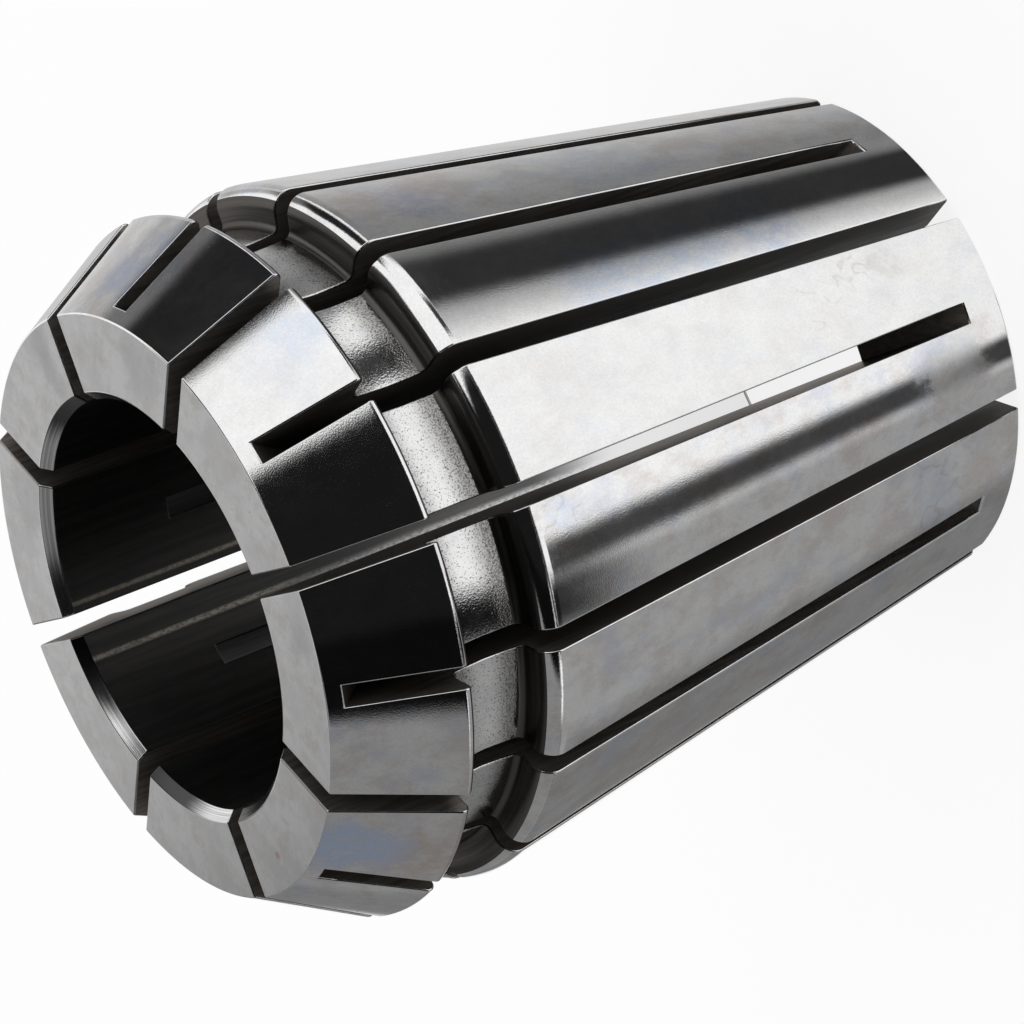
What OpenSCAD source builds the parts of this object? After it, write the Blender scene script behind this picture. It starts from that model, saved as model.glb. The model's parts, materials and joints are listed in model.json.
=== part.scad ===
// Spring collet for a chuck with an inner cone and a clamping nut.
// One piece of hardened steel, turned and ground, then slit from both ends by turns,
// so that its fingers close evenly on a round shank.
// It stands on its rear end on the plane z = 0, nose up, with its axis on z.

/* [Body] */
// Length over all, from the rear face to the nose face
total_len = 40; // [38:0.5:46]
// Greatest diameter, at the front end of the long taper
taper_d = 33; // [32.5:0.1:34]
// Angle between the long taper and the axis, in degrees
taper_angle = 8; // [7:0.5:9]
// Rounding from the groove's wall onto the taper
shoulder_round = 0.9; // [0.5:0.1:1.2]
// Bevel on the outer edge of the rear face
rear_edge = 0.2; // [0.1:0.05:0.4]

/* [Nose] */
// Length of the nose, from its face to the groove
nose_len = 5.4; // [5:0.1:6]
// Diameter of the nose over its rounded rim
nose_d = 32.9; // [32.4:0.1:33.4]
// Angle between the nose cone and the axis, in degrees
nose_angle = 30; // [27:0.5:32]
// Rounding of the nose rim
rim_round = 0.3; // [0.2:0.05:0.4]
// Bevel on the outer edge of the nose face
face_edge = 0.12; // [0.06:0.02:0.2]

/* [Groove for the nut] */
// Width of the groove between the nose and the taper
groove_w = 3.75; // [3.3:0.05:4.2]
// Diameter at the bottom of the groove
groove_d = 29.2; // [28:0.1:30]
// Fillet in both corners of the groove
groove_fillet = 0.35; // [0.2:0.05:0.6]

/* [Bore] */
// Diameter of the bore that grips the shank
bore_d = 19.05; // [17:0.05:20]
// Chamfer at the front mouth of the bore
front_mouth = 0.45; // [0.3:0.05:0.6]
// Chamfer at the rear mouth of the bore
rear_mouth = 0.4; // [0.2:0.05:0.6]

/* [Slots] */
// Number of slots sawn from each end
slots_each_end = 8; // [6:1:9]
// Width of every slot
slot_w = 1; // [0.8:0.05:1.2]
// Diameter of the slitting saw, whose rim leaves the curved slot ends
saw_d = 50; // [40:1:63]
// Distance from the axis to the lowest point of the saw's path
saw_reach = 6.5; // [6:0.1:7.5]
// Solid land between the rear face and the front slots, on the taper
rear_land = 2.25; // [1.5:0.05:3]
// Solid land between the nose face and the rear slots, along the axis
front_land = 0.65; // [0.5:0.05:1.2]
// Bevel that breaks the long edges of the slots
slot_bevel = 0.08; // [0.04:0.02:0.14]

/* [Hidden] */
$fn = 180;
steel = [0.66, 0.66, 0.67];
bore_r = bore_d / 2;
groove_r = groove_d / 2;
saw_r = saw_d / 2;
// Tools run this far past the metal
past = 1;

// Heights of the groove's two walls
rim_z = total_len - nose_len;
wall_z = rim_z - groove_w;

// Centre of the shoulder's rounding, and the point where it runs into the taper
shoulder_z = wall_z - shoulder_round;
shoulder_r = taper_d / 2 - shoulder_round;
shoulder_end = [shoulder_r + shoulder_round * cos(taper_angle),
                shoulder_z - shoulder_round * sin(taper_angle)];

// Centre of the rim's rounding, and the point where it runs into the nose cone
rim_cz = rim_z + rim_round;
rim_cr = nose_d / 2 - rim_round;
rim_end = [rim_cr + rim_round * cos(nose_angle), rim_cz + rim_round * sin(nose_angle)];

// Radius of the taper and of the nose cone at a height
function taper_r(z) = shoulder_end[0] - (shoulder_end[1] - z) * tan(taper_angle);
function cone_r(z) = rim_end[0] - (z - rim_end[1]) * tan(nose_angle);

// How far ahead of its centre the saw cuts, at a distance from the collet's axis
function saw_ahead(r) = sqrt(pow(saw_r, 2) - pow(saw_reach + saw_r - r, 2));

// Where the saw's centre stops, for the slots from the front and from the rear
rear_slot_top = total_len - front_land;
front_stop = rear_land + saw_ahead(taper_r(rear_land));
rear_stop = rear_slot_top - saw_ahead(cone_r(rear_slot_top));

// Half of the collet's lengthwise section: radius across, height up
module half_section() {
    difference() {
        union() {
            polygon([
                [bore_r + rear_mouth, 0],
                [taper_r(0) - rear_edge, 0],
                [taper_r(rear_edge), rear_edge],
                shoulder_end,
                [shoulder_r, wall_z],
                [groove_r + groove_fillet, wall_z],
                [groove_r + groove_fillet, wall_z + groove_fillet],
                [groove_r, wall_z + groove_fillet],
                [groove_r, rim_z - groove_fillet],
                [groove_r + groove_fillet, rim_z - groove_fillet],
                [groove_r + groove_fillet, rim_z],
                [rim_cr, rim_z],
                rim_end,
                [cone_r(total_len - face_edge), total_len - face_edge],
                [cone_r(total_len) - face_edge, total_len],
                [bore_r + front_mouth, total_len],
                [bore_r, total_len - front_mouth],
                [bore_r, rear_mouth]
            ]);
            translate([shoulder_r, shoulder_z]) circle(r = shoulder_round);
            translate([rim_cr, rim_cz]) circle(r = rim_round);
        }
        translate([groove_r + groove_fillet, wall_z + groove_fillet]) circle(r = groove_fillet);
        translate([groove_r + groove_fillet, rim_z - groove_fillet]) circle(r = groove_fillet);
    }
}

// Path of the slitting saw, from where its centre stops straight out to the open end
module saw_path(stop_z, open_z) {
    rotate([90, 0, 0]) linear_extrude(height = slot_w, center = true) {
        translate([saw_reach + saw_r, stop_z]) circle(r = saw_r);
        translate([saw_reach, min(stop_z, open_z)]) square([saw_d, abs(open_z - stop_z)]);
    }
}

// Cut that bevels both edges of a slot, along a straight run of the section from a to b.
// Seen along the run, with the section's plane upright, the metal lies on its left.
module bevel_run(a, b) {
    deep = 2 * slot_bevel;
    half = slot_w / 2 + slot_bevel;
    translate([a[0], 0, a[1]]) rotate([0, atan2(b[0] - a[0], b[1] - a[1]), 0])
        linear_extrude(height = norm(b - a))
            polygon([[-deep, deep - half], [slot_bevel, -slot_bevel - half],
                     [slot_bevel, slot_bevel + half], [-deep, half - deep]]);
}

// Bevels that both kinds of slot have on the bottom of the groove
module groove_bevel() {
    bevel_run([groove_r, wall_z + groove_fillet], [groove_r, rim_z - groove_fillet]);
}

// One slot sawn from the nose, and its bevels round the section
module front_slot() {
    saw_path(front_stop, total_len + past);
    bevel_run([taper_r(rear_land), rear_land], [taper_r(wall_z + past), wall_z + past]);
    groove_bevel();
    bevel_run([cone_r(rim_z - past), rim_z - past], [cone_r(total_len + past), total_len + past]);
    bevel_run([cone_r(total_len) + past, total_len], [bore_r - past, total_len]);
    bevel_run([bore_r, total_len + past], [bore_r, front_stop - saw_ahead(bore_r)]);
}

// One slot sawn from the rear, and its bevels round the section
module rear_slot() {
    saw_path(rear_stop, -past);
    bevel_run([bore_r - past, 0], [taper_r(0) + past, 0]);
    bevel_run([taper_r(-past), -past], [taper_r(wall_z + past), wall_z + past]);
    groove_bevel();
    bevel_run([cone_r(rim_z - past), rim_z - past], [cone_r(rear_slot_top), rear_slot_top]);
    bevel_run([bore_r, rear_stop + saw_ahead(bore_r)], [bore_r, -past]);
}

// The turned blank with its slots, front and rear ones by turns
module collet() {
    step = 360 / slots_each_end;
    color(steel) difference() {
        rotate_extrude() half_section();
        for (i = [0 : slots_each_end - 1]) {
            rotate([0, 0, i * step]) front_slot();
            rotate([0, 0, (i + 0.5) * step]) rear_slot();
        }
    }
}

collet();
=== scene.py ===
"""Looks of a slotted spring collet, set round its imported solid.

The collet stands on its rear end on the floor z = 0, nose up, its axis on z.
Sizes are in millimetres until a mesh is written.
"""

import json
import math

import bpy
import numpy as np
from mathutils import Matrix, Vector


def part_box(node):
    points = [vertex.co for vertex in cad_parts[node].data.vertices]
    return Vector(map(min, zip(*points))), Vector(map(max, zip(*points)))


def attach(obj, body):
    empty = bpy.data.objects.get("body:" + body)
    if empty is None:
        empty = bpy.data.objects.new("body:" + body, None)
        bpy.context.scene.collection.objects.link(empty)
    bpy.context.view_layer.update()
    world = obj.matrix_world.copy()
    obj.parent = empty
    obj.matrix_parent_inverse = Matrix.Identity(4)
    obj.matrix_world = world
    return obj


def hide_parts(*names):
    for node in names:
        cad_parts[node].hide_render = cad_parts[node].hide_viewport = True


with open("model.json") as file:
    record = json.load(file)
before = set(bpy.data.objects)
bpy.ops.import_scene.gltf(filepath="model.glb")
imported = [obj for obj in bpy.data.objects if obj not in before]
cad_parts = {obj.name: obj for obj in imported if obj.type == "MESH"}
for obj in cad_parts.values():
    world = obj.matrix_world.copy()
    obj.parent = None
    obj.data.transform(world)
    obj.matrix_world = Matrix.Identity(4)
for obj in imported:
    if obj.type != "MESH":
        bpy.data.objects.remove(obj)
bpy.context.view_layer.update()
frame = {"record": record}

MM = 0.001
MOUNTS = {mount["name"]: mount for mount in frame["record"]["mounts"]}

# Turned shape
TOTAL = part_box("collet")[1].z / MM
BORE_R = MOUNTS["bore"]["dims"]["r_mm"]
BODY_R = 16.5
TAPER = math.radians(8)
SHOULDER_ROUND = 0.9
REAR_EDGE = 0.2
NOSE_LEN = 5.4
NOSE_R = 16.45
CONE = math.radians(30)
RIM_ROUND = 0.3
FACE_ROUND = 0.1
GROOVE_W = 3.75
GROOVE_R = 14.6
GROOVE_FILLET = 0.35
# The groove's bottom rises this much to its walls, and this arc joins its two slopes
GROOVE_RISE = 0.155
GROOVE_HOLLOW = 10.0
FRONT_MOUTH = 0.45
REAR_MOUTH = 0.4
# Rounding of the section's other corners
CORNER_BREAK = 0.1

# Slots: the break is the rounding of their edges, reach is the saw's distance from the
# axis, and a land is what a slot leaves standing at the far end
SLOTS_EACH_END = 8
SLOTS = 2 * SLOTS_EACH_END
CELL = 2 * math.pi / SLOTS
SLOT_HALF = 0.5
ACROSS = SLOT_HALF * np.array([-1, -0.5, 0, 0.5, 1])
SLOT_BREAK = 0.08
SAW_R = 25.0
SAW_REACH = 6.5
REAR_LAND = 2.25
FRONT_LAND = 0.65

# Share of the shoulder's rounding that keeps the ground finish, and share of the rim's that is
# painted dark as painted shade
SHOULDER_GROUND = 0.62
RIM_PAINTED_DARK = 0.6

# Fineness of the mesh: steps over a slot's edge, a finger and a saw-cut floor, degrees to
# a step of the section's arcs, and least distance between a plain row and a slot's end
BREAK_STEPS = 4
FINGER_STEPS = 9
FLOOR_STEPS = 18
ARC_STEP = 7
ROW_GAP = 0.4

# Finishes, in the order of the mesh's material slots
GROUND, SATIN, GROOVE, SIDE_PAINTED_SHADE, BORE, MOUTH, SAWN, SAW_END = range(8)

RIM_Z = TOTAL - NOSE_LEN
WALL_Z = RIM_Z - GROOVE_W


def taper_r(z):
    """Radius of the long taper: a line that touches the shoulder's arc, at the taper's angle."""
    arc_r = BODY_R - SHOULDER_ROUND * (1 - math.cos(TAPER))
    arc_z = WALL_Z - SHOULDER_ROUND * (1 + math.sin(TAPER))
    return arc_r - (arc_z - z) * math.tan(TAPER)


def cone_r(z):
    """Radius of the nose cone: a line that touches the rim's arc, at the cone's angle."""
    arc_r = NOSE_R - RIM_ROUND * (1 - math.cos(CONE))
    arc_z = RIM_Z + RIM_ROUND * (1 + math.sin(CONE))
    return arc_r - (z - arc_z) * math.tan(CONE)


def saw_ahead(r):
    """How far the saw's rim cuts beyond the height of its centre, at a radius."""
    return math.sqrt(SAW_R ** 2 - (SAW_REACH + SAW_R - r) ** 2)


class SlotEnd:
    """Blind end of a slot on one run of the section, with its edge rounded.

    The rounding turns from the run's normal to the saw-cut floor's normal through the angle
    beta, and sinks as deep as the break along the slot's sides, so that both meet in a mitre.
    """

    def __init__(self, point, normal, saw_z, into):
        self.point = np.array(point)
        self.into = into
        floor = np.array([SAW_REACH + SAW_R, saw_z]) - self.point
        beta = math.acos(float(floor @ normal) / np.linalg.norm(floor))
        reach = SLOT_BREAK / math.sin(beta)
        curve = reach / math.tan(beta / 2)
        step = np.arange(BREAK_STEPS + 1) / BREAK_STEPS
        sink = SLOT_BREAK * (1 - np.cos(step * math.pi / 2))
        self.turn = np.arccos(np.clip(1 - sink / curve, -1, 1))
        self.flat = reach * (step - 1)
        self.shift = -reach + curve * np.sin(self.turn) - self.flat


SAW_FRONT_Z = REAR_LAND + saw_ahead(taper_r(REAR_LAND))
REAR_SLOT_TOP = TOTAL - FRONT_LAND
SAW_REAR_Z = REAR_SLOT_TOP - saw_ahead(cone_r(REAR_SLOT_TOP))
TAPER_NORMAL = np.array([math.cos(TAPER), -math.sin(TAPER)])
CONE_NORMAL = np.array([math.cos(CONE), math.sin(CONE)])
BORE_NORMAL = np.array([-1.0, 0.0])

# Each kind of slot has a blind end on the outside and one in the bore
ENDS = {
    "front": (
        SlotEnd((taper_r(REAR_LAND), REAR_LAND), TAPER_NORMAL, SAW_FRONT_Z, 1),
        SlotEnd((BORE_R, SAW_FRONT_Z - saw_ahead(BORE_R)), BORE_NORMAL, SAW_FRONT_Z, -1),
    ),
    "rear": (
        SlotEnd((cone_r(REAR_SLOT_TOP), REAR_SLOT_TOP), CONE_NORMAL, SAW_REAR_Z, -1),
        SlotEnd((BORE_R, SAW_REAR_Z + saw_ahead(BORE_R)), BORE_NORMAL, SAW_REAR_Z, 1),
    ),
}


def section_corners():
    """Corners of the blank's section, from the rear mouth outwards and round.

    Each row: radius, height, rounding, finish of the arc, finish of the run that follows,
    number of steps along that run, slot ends on it. An arc's finish may cover a share of it,
    the run's covers the rest then. The groove's bottom is ground a little hollow: two runs
    that lean by the same angle, joined by an arc that touches its radius.
    """
    front_out, front_in = ENDS["front"]
    rear_out, rear_in = ENDS["rear"]
    middle_z = (WALL_Z + RIM_Z) / 2
    lean = GROOVE_RISE / (GROOVE_W / 2)
    # The slopes' lean and the arc's dip depend on each other, so they are settled by turns
    for _ in range(4):
        dip = GROOVE_HOLLOW * (math.sqrt(1 + lean ** 2) - 1)
        lean = (GROOVE_RISE + dip) / (GROOVE_W / 2)
    return [
        (BORE_R + REAR_MOUTH, 0, CORNER_BREAK, SATIN, SATIN, 3, []),
        (taper_r(0) - REAR_EDGE, 0, CORNER_BREAK, SATIN, GROUND, 1, []),
        (taper_r(REAR_EDGE), REAR_EDGE, CORNER_BREAK, GROUND, GROUND, 16, [front_out]),
        # The shoulder's and rim's arcs are partly given the dark groove finish, as painted shade
        (taper_r(WALL_Z), WALL_Z, SHOULDER_ROUND, (GROUND, SHOULDER_GROUND), SIDE_PAINTED_SHADE, 1, []),
        (GROOVE_R + GROOVE_RISE, WALL_Z, GROOVE_FILLET, SIDE_PAINTED_SHADE, GROOVE, 1, []),
        (GROOVE_R - dip, middle_z, GROOVE_HOLLOW, GROOVE, GROOVE, 1, []),
        (GROOVE_R + GROOVE_RISE, RIM_Z, GROOVE_FILLET, SIDE_PAINTED_SHADE, SIDE_PAINTED_SHADE, 2, []),
        (cone_r(RIM_Z), RIM_Z, RIM_ROUND, (SIDE_PAINTED_SHADE, RIM_PAINTED_DARK), GROUND, 7, [rear_out]),
        (cone_r(TOTAL), TOTAL, FACE_ROUND, GROUND, SATIN, 3, []),
        (BORE_R + FRONT_MOUTH, TOTAL, CORNER_BREAK, MOUTH, MOUTH, 1, []),
        (BORE_R, TOTAL - FRONT_MOUTH, CORNER_BREAK, MOUTH, BORE, 20, [rear_in, front_in]),
        (BORE_R, REAR_MOUTH, CORNER_BREAK, MOUTH, MOUTH, 1, []),
    ]


def section_rows(corners):
    """Rows of the skin, in order round the closed section.

    A corner's arc touches both of its runs, so it starts rounding * tan(turn / 2) before the
    corner. Its points are the arc's centre plus or minus the rounding times the turned normal.
    A run adds even steps and, at a slot's blind end, the steps of its rounded edge.
    Returns points, normals, finish of the strip after each row, slot end and its step.
    """
    spots = np.array([corner[:2] for corner in corners], float)
    along = np.roll(spots, -1, 0) - spots
    lengths = np.linalg.norm(along, axis=1)
    along /= lengths[:, None]
    normals = np.stack([along[:, 1], -along[:, 0]], 1)
    before = np.roll(along, 1, 0)
    turns = np.arctan2(before[:, 0] * along[:, 1] - before[:, 1] * along[:, 0],
                       (before * along).sum(1))
    rounding = np.array([corner[2] for corner in corners])
    tangent = rounding * np.tan(np.abs(turns) / 2)
    points, sides, finishes, ends, steps = [], [], [], [], []
    for i, (_, _, _, arc_finish, run_finish, run_steps, slot_ends) in enumerate(corners):
        bend = math.copysign(1, turns[i])
        first = normals[i - 1]
        centre = spots[i] - before[i] * tangent[i] - bend * rounding[i] * first
        count = max(2, round(abs(math.degrees(turns[i])) / ARC_STEP))
        angle = math.atan2(first[1], first[0]) + turns[i] * np.arange(count + 1) / count
        arc = np.stack([np.cos(angle), np.sin(angle)], 1)
        points.append(centre + bend * rounding[i] * arc)
        sides.append(arc)
        first_finish, reach = arc_finish if isinstance(arc_finish, tuple) else (arc_finish, 1)
        reach = round(count * reach)
        finishes += [first_finish] * reach + [run_finish] * (count + 1 - reach)
        ends += [None] * (count + 1)
        steps += [0] * (count + 1)
        start, stop = tangent[i], lengths[i] - tangent[(i + 1) % len(corners)]
        places = []
        for end in slot_ends:
            at = float((end.point - spots[i]) @ along[i])
            for k in range(BREAK_STEPS + 1):
                places.append((at + end.into * end.flat[k], end, k))
        clear = [place[0] for place in places]
        for at in np.linspace(start, stop, run_steps + 1)[1:-1]:
            if all(abs(at - other) > ROW_GAP for other in clear):
                places.append((at, None, 0))
        places.sort(key=lambda place: place[0])
        if places:
            points.append(spots[i] + np.outer([place[0] for place in places], along[i]))
            sides.append(np.tile(normals[i], (len(places), 1)))
            finishes += [run_finish] * len(places)
            ends += [place[1] for place in places]
            steps += [place[2] for place in places]
    return np.concatenate(points), np.concatenate(sides), np.array(finishes), ends, steps


def open_steps(kind, ends, steps):
    """Per row, how far a slot of this kind has opened: 0 in the land, BREAK_STEPS where open.

    Also the rows at which the floor starts, outside and in the bore.
    """
    outside, inside = ENDS[kind]
    count = len(ends)
    own = np.array([end is outside or end is inside for end in ends])
    opened = np.where(own, steps, 0)
    edge = [next(r for r in range(count) if ends[r] is end and steps[r] == BREAK_STEPS)
            for end in (outside, inside)]
    row = np.arange(count)
    first, last = edge if kind == "front" else edge[::-1]
    between = (row - first) % count <= (last - first) % count
    return np.where(between, BREAK_STEPS, opened), own, edge


def finger_columns():
    """Columns round the collet, cell by cell between the middles of neighbouring slots.

    A column beside a slot keeps one distance t from the slot's middle plane. The others
    share out the angle between the two nearest of those.
    Columns of the result: slot before, slot after, t before, t after, share, break step, side.
    """
    quarter = np.arange(BREAK_STEPS, -1, -1) * math.pi / 2 / BREAK_STEPS
    offsets = SLOT_HALF + SLOT_BREAK * (1 - np.sin(quarter))
    outer = offsets[-1]
    near = np.concatenate([[0, SLOT_HALF / 2], offsets])
    near_step = np.concatenate([[BREAK_STEPS] * 2, np.arange(BREAK_STEPS, -1, -1)])
    shares = np.arange(1, FINGER_STEPS + 1) / (FINGER_STEPS + 1)
    template = np.concatenate([
        np.stack([near, 0 * near - outer, 0 * near, near_step, 0 * near + 1], 1),
        np.stack([0 * shares + outer, 0 * shares - outer, shares, 0 * shares, 0 * shares], 1),
        np.stack([0 * near + outer, -near, 0 * near + 1, near_step, 0 * near - 1], 1)[:0:-1],
    ])
    slot = np.repeat(np.arange(SLOTS), len(template))[:, None]
    return np.hstack([slot, slot + 1, np.tile(template, (SLOTS, 1))])


def upright(pair, angle):
    """Directions in space, from their parts outwards and upwards and the angle of their place."""
    return np.stack([pair[:, :1] * np.cos(angle), pair[:, :1] * np.sin(angle),
                     pair[:, 1:] + 0 * angle], 2)


def grid_corners(values):
    """Values at the four corners of each cell of an open grid, in turn round the cell."""
    return np.stack([values[:-1, :-1], values[:-1, 1:], values[1:, 1:], values[1:, :-1]], 2)


class Skin:
    """Outer skin of the collet as one closed grid: section rows by finger columns.

    Every point is the section's point, sunk along its normal near a slot by
    break * (1 - cos(step's angle)), and turned round the axis to its column's angle
    asin(t / radius) from the slot's middle plane.
    """

    def __init__(self):
        points, sides, self.finishes, ends, steps = section_rows(section_corners())
        before, after, t_before, t_after, share, self.break_step, side = finger_columns().T
        self.near = np.where(share > 0.5, after, before).astype(int)
        shape = (len(points), len(self.near))
        self.index = np.arange(len(points) * len(self.near)).reshape(shape)
        self.opening, shift, turn = np.zeros(shape), np.zeros(shape), np.zeros(shape)
        self.edges = {}
        for kind, mine in (("front", self.near % 2 == 0), ("rear", self.near % 2 == 1)):
            steps_open, own, self.edges[kind] = open_steps(kind, ends, steps)
            self.opening[:, mine] = steps_open[:, None]
            row_shift = np.array([end.into * end.shift[k] if flag else 0.0
                                  for end, k, flag in zip(ends, steps, own)])
            row_turn = np.array([end.turn[k] if flag else 0.0
                                 for end, k, flag in zip(ends, steps, own)])
            shift[:, mine] = np.outer(row_shift, self.break_step[mine] / BREAK_STEPS)
            turn[:, mine] = row_turn[:, None]
        slide = np.stack([-sides[:, 1], sides[:, 0]], 1)
        depth_step = np.minimum(self.opening, self.break_step)
        depth = SLOT_BREAK * (1 - np.cos(depth_step * math.pi / 2 / BREAK_STEPS))
        self.radius = points[:, :1] + shift * slide[:, :1] - depth * sides[:, :1]
        self.height = points[:, 1:] + shift * slide[:, 1:] - depth * sides[:, 1:]
        self.angle = ((1 - share) * (before * CELL + np.arcsin(t_before / self.radius))
                      + share * (after * CELL + np.arcsin(t_after / self.radius)))
        self.points = np.stack([self.radius * np.cos(self.angle),
                                self.radius * np.sin(self.angle), self.height], 2)

        # Normals: the section's own, turned towards the slot's wall or its saw-cut floor, or
        # halfway between the two in a mitre
        into = np.array([end.into if end else 0 for end in ends])[:, None]
        plain = upright(sides, self.angle)
        middle = self.near * CELL
        wall = np.stack([side * np.sin(middle), -side * np.cos(middle), 0 * middle], 1)[None]
        wall_turn = (self.break_step * math.pi / 2 / BREAK_STEPS)[None, :, None]
        to_wall = np.cos(wall_turn) * plain + np.sin(wall_turn) * wall
        to_floor = (np.cos(turn)[..., None] * plain
                    + (into * np.sin(turn))[..., None] * upright(slide, self.angle))
        on_edge = (self.break_step == self.opening) & (turn > 0)
        inner = np.abs(np.where(share > 0.5, t_after, t_before)) <= SLOT_HALF / 2
        cases = ((inner & on_edge, to_floor), (depth_step == 0, plain),
                 (on_edge & (side != 0), to_wall + to_floor),
                 ((self.break_step <= self.opening) & ~on_edge, to_wall))
        normals = np.select([where[..., None] for where, _ in cases],
                            [normal for _, normal in cases], to_floor)
        self.normals = normals / np.linalg.norm(normals, axis=2)[..., None]

    def faces(self):
        """Faces of the skin beside the open slots, the normals at their corners, finishes."""
        next_row, next_col = np.roll(self.index, -1, 0), np.roll(self.index, -1, 1)
        quads = np.stack([self.index, next_col, np.roll(next_row, -1, 1), next_row], 2)
        is_open = self.opening == BREAK_STEPS
        in_slot = self.break_step == BREAK_STEPS
        slot = self.near % SLOTS
        cut = (is_open & np.roll(is_open, -1, 0)
               & in_slot & np.roll(in_slot, -1) & (slot == np.roll(slot, -1)))
        quads = quads[~cut]
        finishes = np.repeat(self.finishes[:, None], len(self.near), 1)[~cut]
        return quads, self.normals.reshape(-1, 3)[quads].reshape(-1, 3), finishes


def saw_floor(saw, middle, start, stop):
    """Floor that the saw leaves between a slot's two blind ends, and the floor's normals.

    Start and stop are the ends, seen from the saw's centre in the slot's middle plane, one
    for each distance across. The angle round the centre and the distance from it go evenly
    from start to stop, and the normals point back to the centre.
    """
    share = (np.arange(FLOOR_STEPS + 1) / FLOOR_STEPS)[:, None]
    angles = [np.arctan2(v[:, 1], v[:, 0]) % (2 * math.pi) for v in (start, stop)]
    angle = (1 - share) * angles[0] + share * angles[1]
    reach = (1 - share) * np.linalg.norm(start, axis=1) + share * np.linalg.norm(stop, axis=1)
    out = saw[0] + reach * np.cos(angle)
    up = saw[1] + reach * np.sin(angle)
    floor = np.stack([out * math.cos(middle) - ACROSS * math.sin(middle),
                      out * math.sin(middle) + ACROSS * math.cos(middle), up], 2)
    normals = np.stack([-np.cos(angle) * math.cos(middle), -np.cos(angle) * math.sin(middle),
                        -np.sin(angle)], 2)
    return floor, normals


def cut_slot(skin, slot, first_new):
    """Saw-cut floor and flat walls of one slot, which close the gap in the skin.

    The new points, numbered from first_new on, then faces, corner normals and finishes.
    """
    is_front = slot % 2 == 0
    out_row, in_row = skin.edges["front" if is_front else "rear"]
    saw = np.array([SAW_REACH + SAW_R, SAW_FRONT_Z if is_front else SAW_REAR_Z])
    middle = slot * CELL
    mine = np.flatnonzero((skin.near % SLOTS == slot) & (skin.break_step == BREAK_STEPS))
    mine = mine[np.argsort(skin.points[out_row, mine] @ [-math.sin(middle), math.cos(middle), 0])]

    # Floor: arcs of the saw between the two blind ends
    out = np.sqrt(skin.radius[:, mine] ** 2 - ACROSS ** 2)
    start, stop = (np.stack([out[row], skin.height[row, mine]], 1) - saw
                   for row in (out_row, in_row))
    floor, floor_normals = saw_floor(saw, middle, start, stop)
    ids = np.empty((FLOOR_STEPS + 1, len(mine)), int)
    ids[0], ids[-1] = skin.index[out_row, mine], skin.index[in_row, mine]
    ids[1:-1] = first_new + np.arange(ids[1:-1].size).reshape(-1, len(mine))
    strip, strip_normals = grid_corners(ids), grid_corners(floor_normals)
    if not is_front:
        strip, strip_normals = strip[:, :, ::-1], strip_normals[:, :, ::-1]
    faces = [strip.reshape(-1, 4)]
    normals = [strip_normals.reshape(-1, 3)]
    finishes = [np.full(len(faces[0]), SAW_END)]

    # Walls: one flat face on each side, round the open part of the section and the floor
    first, last = (out_row, in_row) if is_front else (in_row, out_row)
    rows = len(skin.index)
    open_rows = (first + np.arange((last - first) % rows + 1)) % rows
    for column, way in ((0, -1), (-1, 1)):
        arc = ids[1:-1, column]
        rim = skin.index[open_rows, mine[column]]
        loop = np.concatenate([rim, arc[::-1] if is_front else arc])
        faces.append(loop[::way])
        wall = np.array([math.sin(middle), -math.cos(middle), 0]) * way
        normals.append(np.tile(wall, (len(loop), 1)))
        finishes.append([SAWN if is_front else SAW_END])
    return floor[1:-1].reshape(-1, 3), faces, normals, finishes


def mesh_piece(name, points, faces, corner_normals, finish_of_face, materials):
    """One object from points in millimetres, with a normal of its own at each face corner."""
    mesh = bpy.data.meshes.new(name)
    used, index = np.unique(np.concatenate([np.ravel(face) for face in faces]),
                            return_inverse=True)
    mesh_faces, at = [], 0
    for face in faces:
        size = np.size(face)
        block = index[at:at + size]
        at += size
        if np.ndim(face) == 2:
            mesh_faces += block.reshape(face.shape).tolist()
        else:
            mesh_faces.append(block.tolist())
    mesh.from_pydata((points[used] * MM).tolist(), [], mesh_faces)
    for material in materials:
        mesh.materials.append(material)
    mesh.polygons.foreach_set("material_index", finish_of_face.astype(np.int32))
    mesh.polygons.foreach_set("use_smooth", np.ones(len(mesh.polygons), bool))
    mesh.update()
    mesh.normals_split_custom_set(corner_normals.tolist())
    piece = bpy.data.objects.new(name, mesh)
    bpy.context.scene.collection.objects.link(piece)
    return piece


def build_collet(materials):
    """Skin, slot walls and saw-cut floors as one closed mesh."""
    skin = Skin()
    points = [skin.points.reshape(-1, 3)]
    faces, normals, finishes = ([part] for part in skin.faces())
    for slot in range(SLOTS):
        fresh = cut_slot(skin, slot, sum(len(part) for part in points))
        points.append(fresh[0])
        faces += fresh[1]
        normals += fresh[2]
        finishes += fresh[3]
    return mesh_piece("spring_collet", np.concatenate(points), faces, np.concatenate(normals),
                      np.concatenate(finishes), materials)


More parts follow.
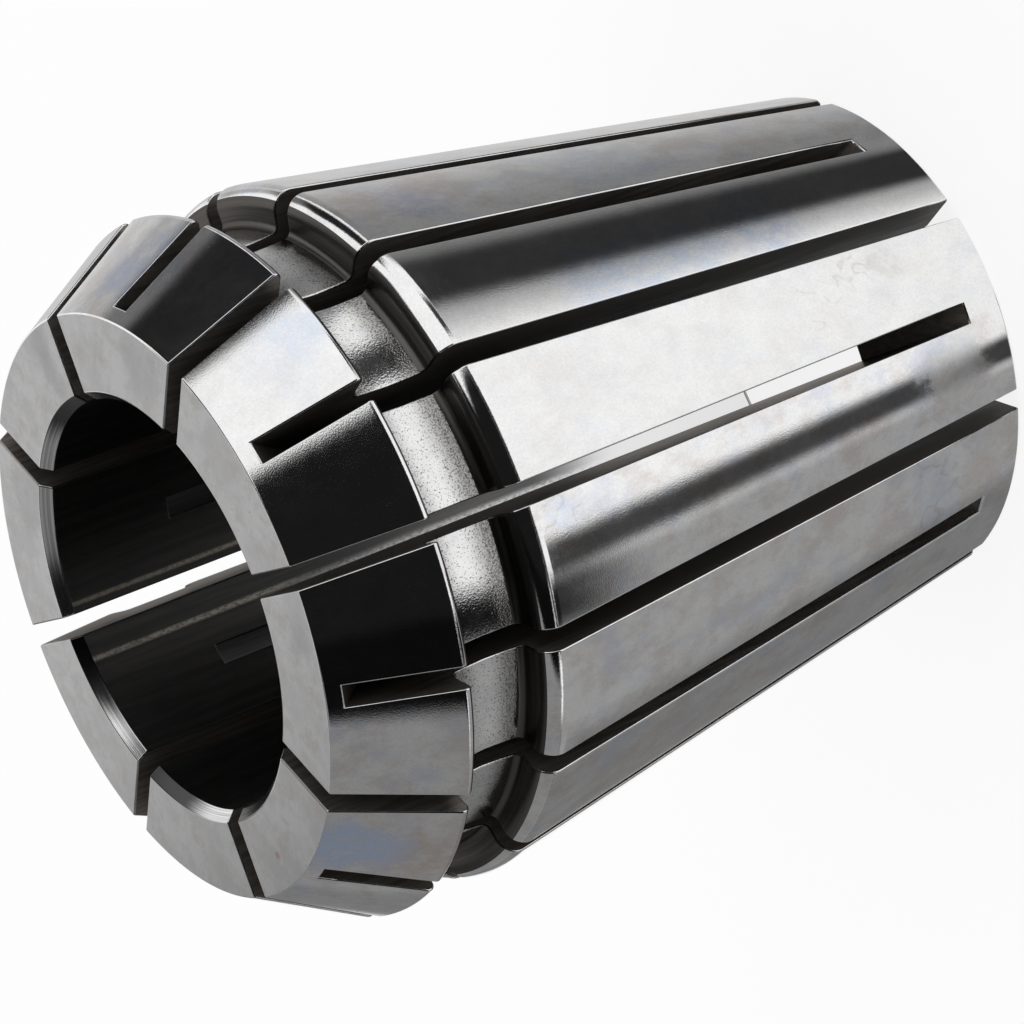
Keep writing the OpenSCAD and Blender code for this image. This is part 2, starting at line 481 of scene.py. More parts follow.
class Finish:
    """A procedural steel finish. Patterns read Object coordinates, counted in millimetres."""

    def __init__(self, name):
        self.material = bpy.data.materials.new(name)
        self.material.use_nodes = True
        self.tree = self.material.node_tree
        self.shader = self.tree.nodes["Principled BSDF"]
        self.shader.inputs["Metallic"].default_value = 1
        place = self.add("ShaderNodeTexCoord", output="Object")
        self.place = self.add("ShaderNodeMapping", Vector=place, Scale=(1 / MM,) * 3)

    def add(self, kind, output=0, settings=None, **inputs):
        """One node's output, which is picked by number or name.

        An input is named by its socket, or by i and its number. It is another node's output,
        or a value for the socket itself.
        """
        node = self.tree.nodes.new(kind)
        for key, value in (settings or {}).items():
            setattr(node, key, value)
        for key, value in inputs.items():
            self.join(node.inputs[int(key[1:]) if key[1:].isdigit() else key.replace("_", " ")],
                      value)
        return node.outputs[output]

    def join(self, socket, value):
        """Links another node's output to a socket, or sets the socket's own value."""
        if isinstance(value, bpy.types.NodeSocket):
            self.tree.links.new(value, socket)
        else:
            socket.default_value = value

    def set(self, name, value):
        """Gives one of the shader's inputs a pattern or a plain value."""
        self.join(self.shader.inputs[name], value)

    def stretched(self, scale, shift=0.0):
        """Place, shrunk along each axis by its scale."""
        return self.add("ShaderNodeMapping", Vector=self.place, Scale=scale,
                        Location=(shift,) * 3)

    def radius_angle_height(self):
        """Radius in millimetres, angle round the axis in radians, height in millimetres."""
        flat = self.add("ShaderNodeVectorMath", settings={"operation": "MULTIPLY"},
                        i0=self.place, i1=(1, 1, 0))
        radius = self.add("ShaderNodeVectorMath", output="Value",
                          settings={"operation": "LENGTH"}, i0=flat)
        x, y, z = self.add("ShaderNodeSeparateXYZ", Vector=self.place).node.outputs
        return radius, self.calculate("ARCTAN2", y, x), z

    def polar(self, radial, round_about, lengthwise):
        """Place as radius, angle and height, each with its scale."""
        radius, angle, z = self.radius_angle_height()
        return self.add("ShaderNodeCombineXYZ", X=self.calculate("MULTIPLY", radius, radial),
                        Y=self.calculate("MULTIPLY", angle, round_about),
                        Z=self.calculate("MULTIPLY", z, lengthwise))

    def calculate(self, operation, one, other=0.0):
        """One number from one or two others."""
        return self.add("ShaderNodeMath", settings={"operation": operation}, i0=one, i1=other)

    def times(self, one, other):
        return self.calculate("MULTIPLY", one, other)

    def noise(self, place, detail=3.0, rough=0.55):
        """Cloudy pattern from 0 to 1, with a grain of about one unit of place."""
        return self.add("ShaderNodeTexNoise", Vector=place, Scale=1.0, Detail=detail,
                        Roughness=rough)

    def between(self, value, low, high, out_low=0.0, out_high=1.0):
        """Smooth step of value from low to high, onto a new range."""
        return self.add("ShaderNodeMapRange", settings={"interpolation_type": "SMOOTHSTEP"},
                        i0=value, i1=low, i2=high, i3=out_low, i4=out_high)

    def band(self, value, middle, half, soft):
        """1 where value is within half of the middle, falling to 0 over the soft width."""
        away = self.calculate("ABSOLUTE", self.calculate("SUBTRACT", value, middle))
        return self.between(away, half + soft, half)

    def blend(self, share, one, other):
        """Colour between two, by a share from 0 to 1."""
        node = self.tree.nodes.new("ShaderNodeMix")
        node.data_type = "RGBA"
        self.join(node.inputs[0], share)
        for socket, value in ((node.inputs[6], one), (node.inputs[7], other)):
            self.join(socket, value if isinstance(value, bpy.types.NodeSocket) else (*value, 1))
        return node.outputs[2]

    def spot(self, centre, radius, ragged):
        """1 within a radius in millimetres of a place, falling softly to 0 on a ragged edge."""
        away = self.add("ShaderNodeVectorMath", output="Value",
                        settings={"operation": "DISTANCE"}, i0=self.place, i1=centre)
        uneven = self.times(self.calculate("SUBTRACT", ragged, 0.5), 1.8 * radius)
        return self.between(self.calculate("ADD", away, uneven), 1.5 * radius, 0.5 * radius)

    def bump(self, height, depth):
        """Relief of a height pattern from 0 to 1, that many millimetres deep."""
        self.set("Normal", self.add("ShaderNodeBump", Height=height, Distance=depth * MM,
                                    Strength=1.0))


# Stains of the photographed collet: middle, radius in mm, colour, strength
DEEP_BLUE, PALE_BLUE = (0.65, 0.75, 0.96), (0.70, 0.78, 0.92)
STRAW_BROWN, PALE_GREY = (0.74, 0.66, 0.60), (0.70, 0.69, 0.66)
STAINS = (
    ((-14.0, 3.1, 38.4), 2.7, STRAW_BROWN, 0.55),
    ((-15.5, 3.4, 35.9), 1.7, STRAW_BROWN, 0.9),
    ((-13.1, 3.6, 39.5), 1.2, DEEP_BLUE, 0.95),
    ((-13.5, 2.0, 39.2), 1.1, DEEP_BLUE, 0.95),
    ((-14.0, 3.3, 38.5), 1.4, DEEP_BLUE, 0.95),
    ((-14.6, 3.1, 37.6), 1.3, DEEP_BLUE, 0.8),
    ((6.5, -13.7, 37.2), 1.8, (0.56, 0.63, 0.80), 0.6),
    ((7.6, -12.6, 38.0), 1.1, (0.64, 0.68, 0.82), 0.9),
    ((-2.5, -15.6, 36.0), 1.4, PALE_BLUE, 0.6),
    ((-4.2, -14.7, 21.5), 1.7, PALE_BLUE, 0.7),
    ((-4.0, -14.5, 18.6), 1.9, PALE_BLUE, 0.7),
    ((-3.8, -14.2, 15.4), 1.7, PALE_BLUE, 0.7),
    ((-3.5, -13.4, 11.2), 2.0, (0.62, 0.70, 0.86), 0.7),
    ((3.0, -14.1, 15.5), 2.4, PALE_BLUE, 0.4),
    ((3.6, -15.7, 28.6), 1.5, STRAW_BROWN, 0.8),
    ((2.6, -15.6, 26.3), 1.5, (0.64, 0.66, 0.80), 0.8),
    ((4.2, -15.2, 24.5), 1.4, STRAW_BROWN, 0.6),
    ((2.6, -13.0, 6.9), 3.0, STRAW_BROWN, 0.15),
    ((-6.4, -11.5, 5.9), 0.9, PALE_GREY, 0.6),
    ((-12.3, -10.6, 28.5), 0.8, PALE_BLUE, 0.7),
    ((-13.0, -2.4, 6.5), 2.0, PALE_BLUE, 0.5),
    ((-12.6, -2.4, 2.5), 1.5, STRAW_BROWN, 0.5),
    ((-13.4, -1.9, 9.0), 1.6, STRAW_BROWN, 0.5),
    ((-15.1, 4.0, 23.9), 3.0, STRAW_BROWN, 0.5),
    ((-14.7, 3.8, 19.0), 2.2, STRAW_BROWN, 0.4),
)
# Smudges on the nose face: middle, radius in mm, strength
SMUDGES = (((10.3, -7.5), 0.8, 0.5), ((9.6, -6.8), 0.7, 0.5), ((8.7, -6.3), 0.5, 0.4),
           ((10.5, 1.8), 1.6, 0.4), ((-10.4, -6.8), 0.9, 0.5), ((3.0, -12.4), 1.6, 0.35))
# The fingers that were wiped clean: their middle and half of their width, in degrees
WIPED = (-113.0, 22.0)
# Painted highlights: bright and straw lines along the bore. Each has its angle and soft width in
# degrees, tint, and the heights at which it has faded out and is full
PAINTED_BORE_HIGHLIGHTS = ((57.0, 2.5, (1.0, 1.0, 0.99), 31.0, 25.0),
          (55.5, 1.0, (1.0, 0.93, 0.82), 26.0, 31.0),
          (39.3, 0.8, (0.84, 0.77, 0.66), 24.0, 31.0))
# Middles of the wavy marks that drops of oil left as they dried, and their reach in mm
DRIED = (((-6.5, -11.8, 8.3), 1.3), ((-7.5, -11.5, 10.6), 1.3), ((-13.0, -3.2, 6.5), 3.0),
         ((-12.3, -10.6, 28.5), 1.2))


def ground_bright():
    """Ground taper, cone and rounded edges: near mirror under blue, brown and grey clouds."""
    steel = Finish("ground_bright")
    mottle = steel.noise(steel.stretched((0.8, 0.8, 0.55), 7), detail=5, rough=0.7)
    colour = steel.blend(steel.between(mottle, 0.3, 0.7), (0.87, 0.87, 0.87),
                         (0.935, 0.935, 0.93))
    angle = steel.radius_angle_height()[1]
    middle, half = (math.radians(value) for value in WIPED)
    dirty = steel.between(steel.band(angle, middle, half, math.radians(3)), 0, 1, 1.0, 0.3)
    brown = steel.noise(steel.stretched((0.62, 0.62, 0.42), 31), detail=5, rough=0.7)
    share = steel.times(steel.between(brown, 0.42, 0.66, 0.0, 0.7), dirty)
    colour = steel.blend(share, colour, (0.72, 0.665, 0.63))
    blue = steel.noise(steel.stretched((0.55, 0.55, 0.36), 53), detail=5, rough=0.72)
    share = steel.times(steel.between(blue, 0.48, 0.64, 0.0, 0.55), dirty)
    colour = steel.blend(share, colour, (0.70, 0.74, 0.85))
    ragged = steel.noise(steel.stretched((0.9, 0.9, 0.8), 3), detail=5, rough=0.72)
    blots = steel.noise(steel.stretched((1.6, 1.6, 1.1), 71), detail=4, rough=0.68)
    patchy = steel.between(blots, 0.38, 0.58, 0.35, 1.0)
    for centre, radius, tint, strength in STAINS:
        near = steel.times(steel.spot(centre, radius, ragged), strength)
        colour = steel.blend(steel.times(near, patchy), colour, tint)
    waves = steel.noise(steel.stretched((0.8, 0.8, 0.6), 17), detail=1)
    rims = steel.times(steel.band(waves, 0.5, 0.006, 0.03), steel.between(brown, 0.4, 0.56))
    for centre, radius in DRIED:
        near = steel.times(steel.spot(centre, radius, ragged), 0.35)
        colour = steel.blend(steel.times(near, rims), colour, (0.50, 0.48, 0.45))
    fine = steel.noise(steel.stretched((9.0, 9.0, 7.0), 13), detail=2, rough=0.7)
    colour = steel.blend(steel.between(fine, 0.35, 0.65, 0.07, 0.0), colour, (0.1, 0.1, 0.1))
    steel.set("Base Color", colour)
    smear = steel.spot((-10.4, -7.6, 4.0), 2.4, ragged)
    rough = steel.calculate("ADD", steel.between(mottle, 0.3, 0.75, 0.05, 0.10),
                            steel.times(smear, 0.3))
    steel.set("Roughness", rough)
    grain = steel.noise(steel.polar(20.0, 200.0, 20.0), detail=2, rough=0.6)
    pits = steel.add("ShaderNodeTexVoronoi", Vector=steel.stretched((0.45, 0.45, 0.45), 5),
                     Scale=1.0, Randomness=1.0)
    relief = steel.calculate("ADD", grain, steel.between(pits, 0.015, 0.035, -1.0, 0.0))
    steel.bump(relief, 0.0022)
    return steel.material


def satin_face():
    """Nose and rear faces: finely ground satin with a soft mottle, faint scratches and specks."""
    steel = Finish("satin_face")
    mottle = steel.noise(steel.stretched((0.4, 0.4, 0.4), 5), detail=5, rough=0.7)
    # The face's tone is partly its own satin grey and partly painted shade: it is set low for the
    # grey that the face mirrors
    colour = steel.blend(steel.between(mottle, 0.38, 0.62), (0.37, 0.365, 0.365),
                         (0.475, 0.475, 0.475))
    brown = steel.noise(steel.stretched((0.8, 0.8, 0.8), 41), detail=5, rough=0.7)
    colour = steel.blend(steel.between(brown, 0.48, 0.66, 0.0, 0.6), colour, (0.34, 0.32, 0.305))
    turned = steel.add("ShaderNodeMapping", Vector=steel.place, Rotation=(0, 0, 0.9),
                       Scale=(5.0, 0.12, 1.0))
    scratch = steel.times(steel.band(steel.noise(turned, detail=1), 0.5, 0.004, 0.012),
                          steel.between(brown, 0.42, 0.62, 0.0, 0.2))
    colour = steel.blend(scratch, colour, (0.62, 0.62, 0.62))
    for place, radius, strength in SMUDGES:
        smudge = steel.times(steel.spot((*place, TOTAL), radius, mottle), strength)
        colour = steel.blend(smudge, colour, (0.27, 0.27, 0.275))
    specks = steel.noise(steel.stretched((5.0, 5.0, 5.0), 22), detail=2)
    colour = steel.blend(steel.between(specks, 0.66, 0.76, 0.0, 0.6), colour,
                         (0.20, 0.19, 0.18))
    rust = steel.times(steel.spot((-10.5, 6.0, TOTAL), 0.18, specks), 0.6)
    steel.set("Base Color", steel.blend(rust, colour, (0.28, 0.13, 0.11)))
    steel.set("Roughness", steel.between(mottle, 0.3, 0.7, 0.28, 0.36))
    grain = steel.noise(steel.stretched((14.0, 14.0, 14.0)), detail=3, rough=0.65)
    steel.bump(grain, 0.0035)
    return steel.material


def turned_groove():
    """Bottom of the nut groove: ground grain that glitters, darker and more specked towards the
    walls as painted shade.
    """
    steel = Finish("turned_groove")
    height = steel.radius_angle_height()[2]
    cloud = steel.noise(steel.stretched((0.8, 0.8, 0.8), 9), detail=3)
    colour = steel.blend(steel.between(cloud, 0.35, 0.65), (0.76, 0.76, 0.77),
                         (0.86, 0.86, 0.85))
    specks = steel.noise(steel.stretched((13.0, 13.0, 13.0), 6), detail=2, rough=0.7)
    # Painted shade: away from the middle, towards the walls, the colour darkens and the dark
    # specks thicken
    clear = steel.band(height, (WALL_Z + RIM_Z) / 2 + 0.1, 0.2, 1.3)
    colour = steel.blend(clear, (0.36, 0.35, 0.34), colour)
    specks = steel.calculate("ADD", specks, steel.times(clear, 0.11))
    steel.set("Base Color", steel.blend(steel.between(specks, 0.53, 0.44), colour,
                                        (0.16, 0.16, 0.15)))
    steel.set("Roughness", steel.between(cloud, 0.3, 0.7, 0.07, 0.12))
    grain = steel.noise(steel.stretched((11.0, 11.0, 11.0), 2), detail=1)
    steel.bump(grain, 0.005)
    return steel.material


def groove_side():
    """Walls and fillets of the nut groove: painted dark as painted shade, with fine turning
    rings.
    """
    steel = Finish("groove_side")
    rings = steel.noise(steel.polar(5.0, 1.5, 5.0), detail=3)
    # Painted shade: the groove's walls and fillets get a dark colour
    steel.set("Base Color", steel.blend(steel.between(rings, 0.4, 0.7), (0.115, 0.11, 0.105),
                                        (0.17, 0.165, 0.16)))
    steel.set("Roughness", 0.36)
    steel.set("Specular Tint", (0.5, 0.48, 0.46, 1))
    steel.bump(rings, 0.003)
    return steel.material


def bore_polished():
    """Bore: dark inside as painted shade, near white and smoother at the rear, with painted
    highlight lines in white and straw.
    """
    steel = Finish("bore_polished")
    _, angle, height = steel.radius_angle_height()
    streaks = steel.noise(steel.stretched((2.2, 2.2, 0.12), 4), detail=4, rough=0.65)
    colour = steel.blend(steel.between(streaks, 0.4, 0.65), (0.148, 0.148, 0.148),
                         (0.20, 0.193, 0.184))
    glitter = steel.noise(steel.stretched((9.0, 9.0, 4.0), 14), detail=2, rough=0.7)
    # Painted highlights: white and straw lines along the bore
    for place, width, tint, fades, full in PAINTED_BORE_HIGHLIGHTS:
        line = steel.band(angle, math.radians(place), math.radians(0.2), math.radians(width))
        line = steel.times(line, steel.between(height, fades, full))
        line = steel.times(line, steel.between(glitter, 0.36, 0.56, 0.45, 1.0))
        colour = steel.blend(line, colour, tint)
    # Painted shade: from 14.5 mm up the bore keeps its dark colour, below 8.5 mm it turns near
    # white and smoother
    rear_free_of_painted_shade = steel.between(height, 14.5, 8.5)
    steel.set("Base Color", steel.blend(rear_free_of_painted_shade, colour, (0.88, 0.88, 0.88)))
    steel.set("Roughness", steel.between(rear_free_of_painted_shade, 0.0, 1.0, 0.34, 0.1))
    steel.bump(glitter, 0.0025)
    return steel.material


def turned_mouth():
    """Chamfers of the bore's mouths: turned rings, with a painted reflection that runs dark to
    bright across each finger and is bright towards one slot.
    """
    steel = Finish("turned_mouth")
    rings = steel.noise(steel.polar(9.0, 0.5, 9.0), detail=3)
    angle = steel.radius_angle_height()[1]
    # Painted reflection: dark to bright across each finger, and bright over one finger's width
    finger = steel.calculate("FRACT", steel.times(angle, SLOTS_EACH_END / (2 * math.pi)))
    painted_bright_segment = steel.band(angle, math.pi / 8, math.pi / 8, 0.01)
    painted_light_share = steel.calculate("ADD", steel.calculate("MAXIMUM", finger, painted_bright_segment),
                           steel.times(rings, 0.3))
    colour = steel.blend(steel.between(rings, 0.4, 0.62), (0.50, 0.50, 0.51), (0.84, 0.84, 0.83))
    steel.set("Base Color", steel.blend(steel.between(painted_light_share, 0.58, 0.88), (0.07, 0.07, 0.07),
                                        colour))
    steel.set("Roughness", 0.2)
    steel.bump(rings, 0.008)
    return steel.material


def sawn(name, dark, light, colour_left_in_painted_shade, metal, rough, sheen):
    """Slot surfaces: grey brown, scored lengthwise by the saw.

    Next to the bore, in the slots' front part, the colour is darkened towards black as painted
    shade; the fourth argument is the share of it that is left there. Metal is near 1 for bare
    steel and 0 for a matt surface, sheen is the tint at a glance.
    """
    steel = Finish(name)
    scores = steel.noise(steel.stretched((4.5, 4.5, 0.22), 8), detail=4, rough=0.6)
    colour = steel.blend(steel.between(scores, 0.35, 0.65), dark, light)
    # Painted shade: next to the bore, in the slots' front part, the colour fades towards black
    radius, _, height = steel.radius_angle_height()
    outer = steel.calculate("MAXIMUM", steel.between(radius, 12.0, 14.4),
                            steel.between(height, 24.0, 16.0))
    share = steel.between(outer, 0.0, 1.0, colour_left_in_painted_shade, 1.0)
    steel.set("Base Color", steel.blend(share, (0.001, 0.001, 0.001), colour))
    steel.set("Roughness", steel.between(scores, 0.3, 0.7, rough, rough + 0.12))
    steel.set("Metallic", metal)
    steel.set("Specular Tint", (*sheen, 1))
    steel.bump(scores, 0.003)
    return steel.material


def sawn_wall():
    """Walls of the front slots: bare steel."""
    return sawn("sawn_wall", dark=(0.15, 0.138, 0.127), light=(0.25, 0.23, 0.21), colour_left_in_painted_shade=1.0,
                metal=0.84, rough=0.28, sheen=(0.45, 0.41, 0.37))


def saw_end():
    """Walls of the rear slots and the curved ends of all slots: near black and matt."""
    return sawn("saw_end", dark=(0.026, 0.023, 0.020), light=(0.044, 0.039, 0.034), colour_left_in_painted_shade=0.15,
                metal=0.0, rough=0.5, sheen=(0.5, 0.45, 0.4))


collet = build_collet([ground_bright(), satin_face(), turned_groove(), groove_side(),
                       bore_polished(), turned_mouth(), sawn_wall(), saw_end()])
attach(collet, "root")
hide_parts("collet")

# Camera
AIM = Vector((-1.353, 1.158, 21.391)) * MM
CAMERA_AZIMUTH = math.radians(-40.551)
CAMERA_ELEVATION = math.radians(30.304)
CAMERA_ROLL = math.radians(111.595)
CAMERA_DISTANCE = 176.193 * MM
LENS = 133.794

# Studio: half of the floor's side in metres, share of plain white in the seen floor, light
# of the surroundings, height of the sky cards' middle, heights of the taper from which
# rays are followed to its cards, and the height up to which the camera sees it
FLOOR_HALF = 3.0
FLOOR_GLOW = 0.85
WORLD_LIGHT = 0.8
CARD_CENTRE = 30.0
CARD_HEIGHTS = (0.1, 3, 8, 15, 22, 30, 60)
TAPER_SEEN = 30.0


def place_camera():
    """Camera at the photograph's angle: it looks at the aim point and is rolled clockwise."""
    back = Vector((math.sin(CAMERA_AZIMUTH) * math.cos(CAMERA_ELEVATION),
                   -math.cos(CAMERA_AZIMUTH) * math.cos(CAMERA_ELEVATION),
                   math.sin(CAMERA_ELEVATION)))
    level = (-back).to_track_quat("-Z", "Y").to_matrix().to_4x4()
    data = bpy.data.cameras.new("camera")
    data.lens = LENS
    data.sensor_width = 36
    data.clip_start, data.clip_end = 0.001, 20
    camera = bpy.data.objects.new("camera", data)
    bpy.context.scene.collection.objects.link(camera)
    camera.matrix_world = (Matrix.Translation(AIM + back * CAMERA_DISTANCE)
                           @ level @ Matrix.Rotation(-CAMERA_ROLL, 4, "Z"))
    bpy.context.scene.camera = camera
    return np.array(camera.matrix_world.translation) / MM


def stage_mesh(name, points, shape, material, cover=None):
    """Sheet of the studio from a grid of points in metres, with its cover as an attribute."""
    rows, cols = shape
    index = np.arange(rows * cols).reshape(rows, cols)
    quads = grid_corners(index).reshape(-1, 4)
    mesh = bpy.data.meshes.new(name)
    mesh.from_pydata(points.reshape(-1, 3).tolist(), [], quads.tolist())
    mesh.materials.append(material)
    if cover is not None:
        mesh.attributes.new("cover", "FLOAT", "POINT").data.foreach_set(
            "value", np.ravel(cover).astype(np.float32))
    sheet = bpy.data.objects.new(name, mesh)
    bpy.context.scene.collection.objects.link(sheet)
    return sheet


def seen_directly(tree):
    """1 for a camera, glossy or transmission ray, 0 for the rays that light things."""
    path = tree.nodes.new("ShaderNodeLightPath")
    seen = path.outputs["Is Camera Ray"]
    for ray in ("Is Glossy Ray", "Is Transmission Ray"):
        either = tree.nodes.new("ShaderNodeMath")
        either.operation = "MAXIMUM"
        tree.links.new(seen, either.inputs[0])
        tree.links.new(path.outputs[ray], either.inputs[1])
        seen = either.outputs[0]
    return seen


def pale_floor():
    """Matt white floor that the camera and the metal see partly as plain white."""
    material = bpy.data.materials.new("pale_floor")
    material.use_nodes = True
    tree = material.node_tree
    shader = tree.nodes["Principled BSDF"]
    shader.inputs["Base Color"].default_value = (0.93, 0.93, 0.93, 1)
    shader.inputs["Roughness"].default_value = 0.9
    shader.inputs["Specular IOR Level"].default_value = 0.1
    white = tree.nodes.new("ShaderNodeEmission")
    share = tree.nodes.new("ShaderNodeMath")
    share.operation = "MULTIPLY"
    share.inputs[1].default_value = FLOOR_GLOW
    mix = tree.nodes.new("ShaderNodeMixShader")
    tree.links.new(seen_directly(tree), share.inputs[0])
    tree.links.new(share.outputs[0], mix.inputs["Fac"])
    tree.links.new(shader.outputs[0], mix.inputs[1])
    tree.links.new(white.outputs[0], mix.inputs[2])
    tree.links.new(mix.outputs[0], tree.nodes["Material Output"].inputs["Surface"])
    return material


def card_paint(shade):
    """Paint of a card that only the steel sees: one shade, thinned out where cover is low."""
    name = "card_%03d" % round(shade * 1000)
    if name in bpy.data.materials:
        return bpy.data.materials[name]
    material = bpy.data.materials.new(name)
    material.use_nodes = True
    tree = material.node_tree
    tree.nodes.remove(tree.nodes["Principled BSDF"])
    paint = tree.nodes.new("ShaderNodeEmission")
    paint.inputs["Color"].default_value = (shade, shade, shade, 1)
    clear = tree.nodes.new("ShaderNodeBsdfTransparent")
    mix = tree.nodes.new("ShaderNodeMixShader")
    cover = tree.nodes.new("ShaderNodeAttribute")
    cover.attribute_name = "cover"
    tree.links.new(cover.outputs["Fac"], mix.inputs["Fac"])
    tree.links.new(clear.outputs[0], mix.inputs[1])
    tree.links.new(paint.outputs[0], mix.inputs[2])
    tree.links.new(mix.outputs[0], tree.nodes["Material Output"].inputs["Surface"])
    return material


def hang_card(name, points, cover, shade):
    """Card from a grid of points in millimetres, seen by nothing but the steel's gloss."""
    card = stage_mesh(name, points * MM, cover.shape, card_paint(shade), cover)
    card.visible_camera = False
    card.visible_diffuse = False
    card.visible_shadow = False
    card.visible_transmission = False
    card.visible_volume_scatter = False


def soft_edges(value, low, high, soft_low, soft_high):
    """1 between low and high, falling smoothly to 0 over the soft widths outside them."""
    rise = np.clip((value - low + soft_low) / max(soft_low, 1e-6), 0, 1)
    fall = np.clip((high + soft_high - value) / max(soft_high, 1e-6), 0, 1)
    return (rise * rise * (3 - 2 * rise)) * (fall * fall * (3 - 2 * fall))


def taper_card(name, low, high, soft_low, soft_high, shade, lift, top=120):
    """Card on the floor, under the light that reaches the camera off one band of the taper.

    From a point of the taper at angle a and height z, the camera's ray is mirrored in the
    taper's normal and followed down to the floor. The card is that map over a and z, from
    the rear up to the height top.
    """
    angle = np.radians(np.linspace(low - soft_low, high + soft_high, 33))[:, None]
    height = np.array([h for h in CARD_HEIGHTS if h < top] + [top])[None, :]
    radius = taper_r(height)
    spot = np.stack([radius * np.cos(angle), radius * np.sin(angle),
                     height + 0 * angle], 2)
    normal = np.stack([math.cos(TAPER) * np.cos(angle) + 0 * height,
                       math.cos(TAPER) * np.sin(angle) + 0 * height,
                       -math.sin(TAPER) + 0 * angle * height], 2)
    at = np.minimum(height, TAPER_SEEN)
    near = np.stack([taper_r(at) * np.cos(angle), taper_r(at) * np.sin(angle), at + 0 * angle], 2)
    ray = near - eye
    ray /= np.linalg.norm(ray, axis=2)[..., None]
    ray -= 2 * (ray * normal).sum(2)[..., None] * normal
    ground = spot - spot[..., 2:] / ray[..., 2:] * ray
    ground[..., 2] = lift
    cover = soft_edges(np.degrees(angle), low, high, soft_low, soft_high) + 0 * height
    hang_card(name, ground, cover, shade)


def sky_card(name, az, el, soft, shade, reach):
    """Card hung round the collet on a ball of radius reach, between azimuths and elevations."""
    turn = np.linspace(az[0] - soft, az[1] + soft, 41)[:, None]
    rise = np.linspace(el[0] - soft, min(el[1] + soft, 90), 25)[None, :]
    cover = (soft_edges(turn, *az, soft, soft) * soft_edges(rise, *el, soft, soft))
    turn, rise = np.radians(turn), np.radians(rise)
    points = np.stack([reach * np.cos(turn) * np.cos(rise), reach * np.sin(turn) * np.cos(rise),
                       CARD_CENTRE + reach * np.sin(rise) + 0 * turn], 2)
    hang_card(name, points, cover, shade)


def floor_card(name, az, out, soft_az, soft_out, shade, lift):
    """Ring-shaped card on the floor, between azimuths and distances from the axis."""
    turn = np.linspace(az[0] - soft_az, az[1] + soft_az, 33)[:, None]
    away = np.linspace(out[0] - soft_out, out[1] + soft_out, 17)[None, :]
    cover = (soft_edges(turn, *az, soft_az, soft_az)
             * soft_edges(away, *out, soft_out, soft_out))
    turn = np.radians(turn)
    points = np.stack([away * np.cos(turn), away * np.sin(turn), lift + 0 * turn * away], 2)
    hang_card(name, points, cover, shade)


def hang_lamp(name, size, energy, azimuth, elevation, distance):
    """Soft lamp in a direction from the nose, turned to it. Size and distance in metres.

    The steel mirrors the white surroundings and the cards, and not the lamp on top of them.
    """
    lamp = bpy.data.lights.new(name, "AREA")
    lamp.shape = "RECTANGLE"
    lamp.size, lamp.size_y = size
    lamp.energy = energy
    light = bpy.data.objects.new(name, lamp)
    bpy.context.scene.collection.objects.link(light)
    light.visible_glossy = False
    turn, rise = math.radians(azimuth), math.radians(elevation)
    out = Vector((math.cos(turn) * math.cos(rise), math.sin(turn) * math.cos(rise),
                  math.sin(rise)))
    light.location = out * distance + Vector((0, 0, CARD_CENTRE * MM))
    light.rotation_euler = out.to_track_quat("Z", "Y").to_euler()


def studio_world():
    """White surroundings: plain white where seen, a little less as light."""
    world = bpy.data.worlds.new("studio")
    world.use_nodes = True
    tree = world.node_tree
    background = tree.nodes["Background"]
    background.inputs["Color"].default_value = (1, 1, 1, 1)
    strength = tree.nodes.new("ShaderNodeMix")
    strength.inputs[2].default_value = WORLD_LIGHT
    strength.inputs[3].default_value = 1.0
    tree.links.new(seen_directly(tree), strength.inputs[0])
    tree.links.new(strength.outputs[0], background.inputs["Strength"])
    bpy.context.scene.world = world


eye = place_camera()
corners = np.array([[[-1, -1, 0], [-1, 1, 0]], [[1, -1, 0], [1, 1, 0]]]) * FLOOR_HALF
stage_mesh("floor", corners, (2, 2), pale_floor())
studio_world()
hang_lamp("softbox", (0.26, 0.3), 0.3, -74, 30, 0.42)
hang_lamp("top_light", (0.45, 0.45), 0.9, 100, 72, 0.8)

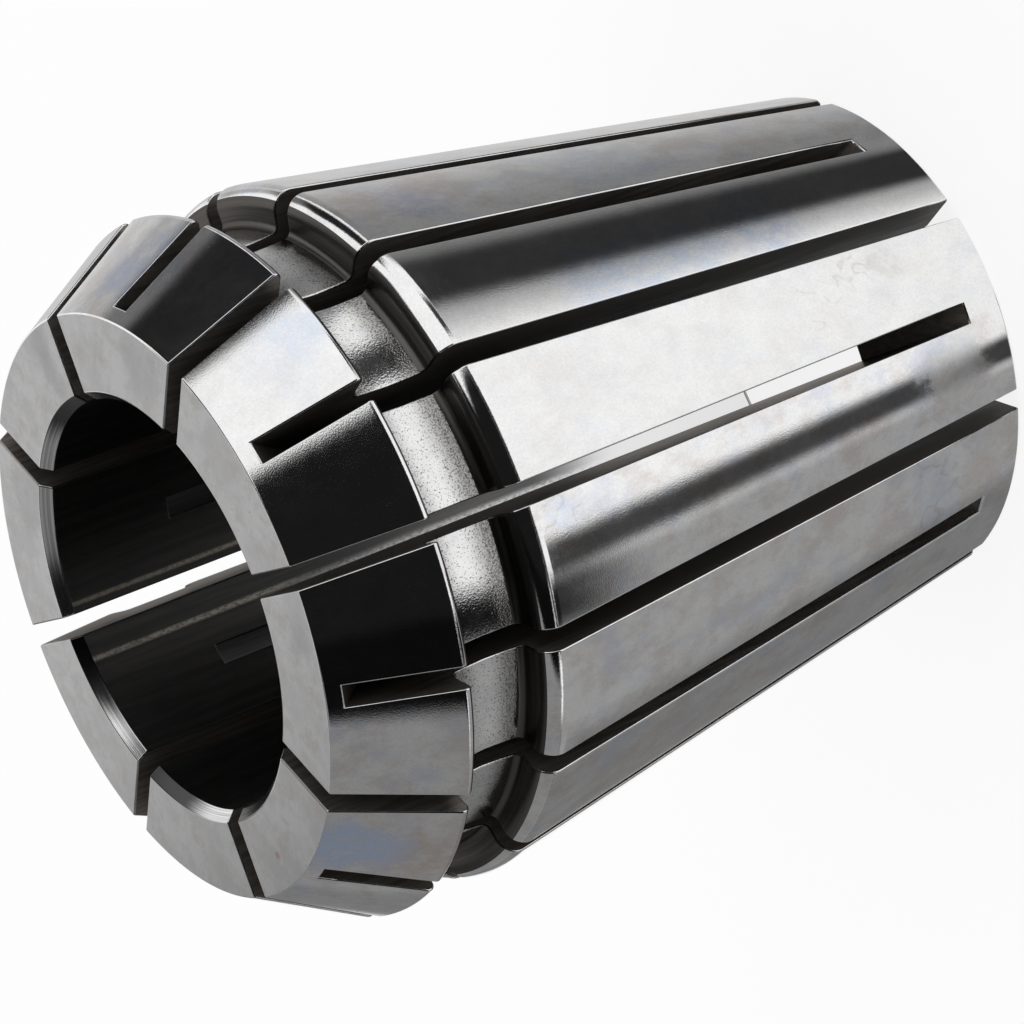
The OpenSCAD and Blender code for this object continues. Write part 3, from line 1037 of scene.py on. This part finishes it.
# Bands of the taper: angles round the axis, soft widths, shade, height over the floor, and
# the height of the collet at which a band ends early
taper_card("dark_card", -102.5, -95.5, 3, 4, 0.030, 0.10, 33)
taper_card("half_dark_card", -104.5, -96, 8, 4, 0.40, 0.09, 33)
taper_card("dim_card", -95, -86, 3, 24, 0.23, 0.06)
taper_card("slate_card", -146.9, -143.8, 2.4, 2.4, 0.055, 0.08, 33)
taper_card("pale_card", -76, -48, 8, 8, 0.62, 0.05)
taper_card("grey_card", -172, -150, 7, 3, 0.33, 0.04)
taper_card("deep_grey_card", -200, -174, 2.5, 7, 0.2, 0.02)
# Flags round the studio: azimuths, elevations, soft width, shade, distance
sky_card("camera_side_dark", (-163, -100), (-4, 90), 3, 0.010, 350)
sky_card("camera_side_dark_low", (-196, -160), (-2, 90), 1.5, 0.004, 360)
sky_card("overhead_dark", (-180, -72), (62, 90), 4, 0.006, 370)
sky_card("zenith_dark", (-180, 180), (82, 90), 3, 0.01, 380)
sky_card("back_dome_dark", (58, 190), (63, 84), 4, 0.03, 376)
sky_card("back_high_dark", (-45, 62), (48, 84), 5, 0.04, 372)
sky_card("side_grey", (58, 164), (-4, 62), 4, 0.24, 350)
sky_card("low_dark", (-55.5, -24), (0, 21), 4, 0.02, 350)
sky_card("low_dim", (-22, -12), (-5, 14), 7, 0.16, 370)
sky_card("low_grey", (-12, 10), (-5, 6), 7, 0.47, 380)
floor_card("far_floor_dark", (-184, -98), (150, 380), 4, 15, 0.02, 0.012)
floor_card("groove_front_dark", (-88, -78.5), (54, 118), 4, 5, 0.05, 0.11)
floor_card("near_corner_dark", (-174, -166), (44, 112), 8, 6, 0.012, 0.12)
floor_card("foot_line", (-180, 180), (11.9, 12.32), 0, 0.05, 0.2, 0.01)
floor_card("foot_light", (-131, -114), (11.9, 12.32), 4, 0.05, 0.85, 0.012)
floor_card("far_floor_grey", (-14, 12), (190, 380), 8, 40, 0.62, 0.05)
floor_card("side_floor_grey", (56, 150), (125, 380), 8, 20, 0.2, 0.03)
bpy.context.scene.view_settings.view_transform = "Standard"
